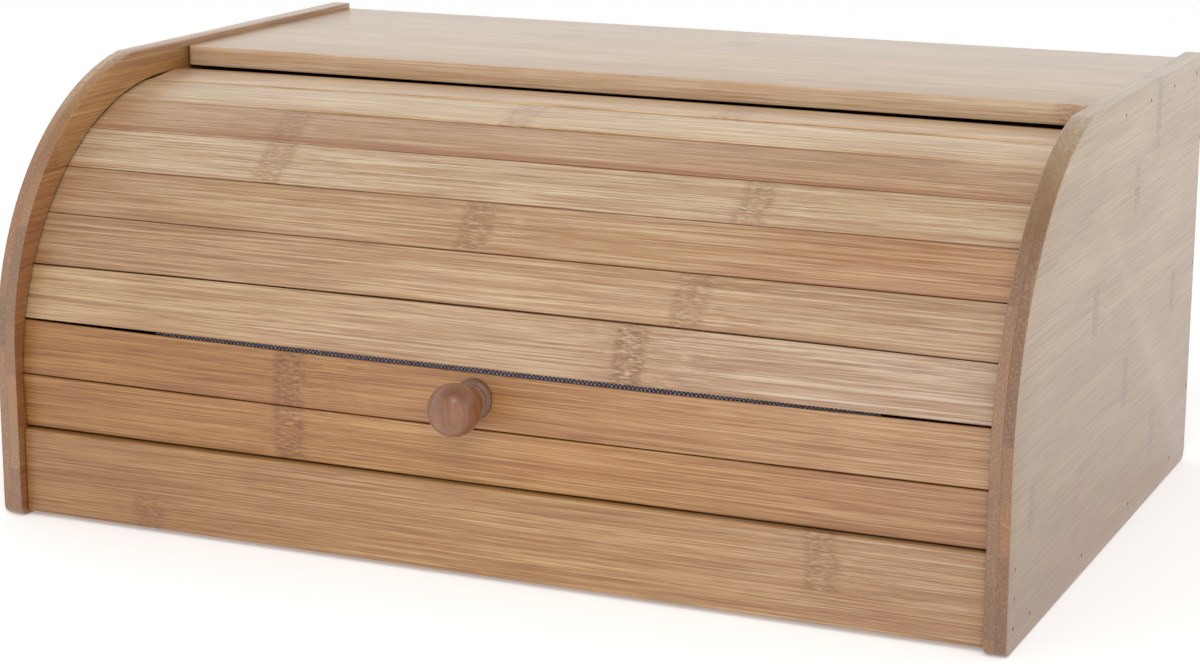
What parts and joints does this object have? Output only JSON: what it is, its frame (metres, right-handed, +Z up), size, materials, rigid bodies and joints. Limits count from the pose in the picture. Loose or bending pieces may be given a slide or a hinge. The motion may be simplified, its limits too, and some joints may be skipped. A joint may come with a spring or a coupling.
{
  "type": "bread box with roll top",
  "caption": "Bamboo bread box: side, top, back and base boards round a bread space, shut by a slatted roll-top tambour that slides up and back in round grooves.",
  "frame": {"origin": "on the surface the box stands on, under the middle of the whole object's width and depth, knob included", "axes": "+X to the right seen from the front, along the box's length; the roll top and knob face -Y; +Z up"},
  "size_m": [0.4, 0.2887, 0.17],
  "materials": {
    "side_board": "satin lacquered bamboo board",
    "top_board": "satin lacquered bamboo board",
    "rail_board": "satin lacquered bamboo board",
    "inner_board": "matte bamboo board",
    "slat_bamboo": "satin lacquered bamboo strip",
    "canvas": "plain woven cotton canvas",
    "knob_wood": "turned beech, satin lacquer",
    "screw_steel": "zinc plated",
    "brad_steel": "plain steel, dull"
  },
  "bodies": {
    "case": {"side_panel_left": "side_board", "side_panel_right": "side_board", "top_panel": "top_board", "front_rail": "rail_board", "base_panel": "inner_board", "back_panel": "inner_board", "brad_top_left_1": "brad_steel", "brad_top_left_2": "brad_steel", "brad_top_left_3": "brad_steel", "brad_top_left_4": "brad_steel", "brad_top_right_1": "brad_steel", "brad_top_right_2": "brad_steel", "brad_top_right_3": "brad_steel", "brad_top_right_4": "brad_steel", "brad_rail_left_1": "brad_steel", "brad_rail_left_2": "brad_steel", "brad_rail_left_3": "brad_steel", "brad_rail_right_1": "brad_steel", "brad_rail_right_2": "brad_steel", "brad_rail_right_3": "brad_steel", "brad_base_left_1": "brad_steel", "brad_base_left_2": "brad_steel", "brad_base_left_3": "brad_steel", "brad_base_left_4": "brad_steel", "brad_base_right_1": "brad_steel", "brad_base_right_2": "brad_steel", "brad_base_right_3": "brad_steel", "brad_base_right_4": "brad_steel", "brad_back_left_1": "brad_steel", "brad_back_left_2": "brad_steel", "brad_back_left_3": "brad_steel", "brad_back_right_1": "brad_steel", "brad_back_right_2": "brad_steel", "brad_back_right_3": "brad_steel"},
    "tambour": {"slat_01": "slat_bamboo", "slat_02": "slat_bamboo", "slat_03": "slat_bamboo", "slat_04": "slat_bamboo", "slat_05": "slat_bamboo", "slat_06": "slat_bamboo", "slat_07": "slat_bamboo", "slat_08": "slat_bamboo", "slat_09": "slat_bamboo", "slat_10": "slat_bamboo", "backing_cloth": "canvas", "knob": "knob_wood", "knob_screw": "screw_steel"}
  },
  "joints": [
    {"name": "roll_top", "type": "hinge", "parent": "case", "child": "tambour", "pos_m": [0, -0.01475, 0.0525], "axis": [-1, 0, 0], "range_deg": [0, 87]}
  ]
}
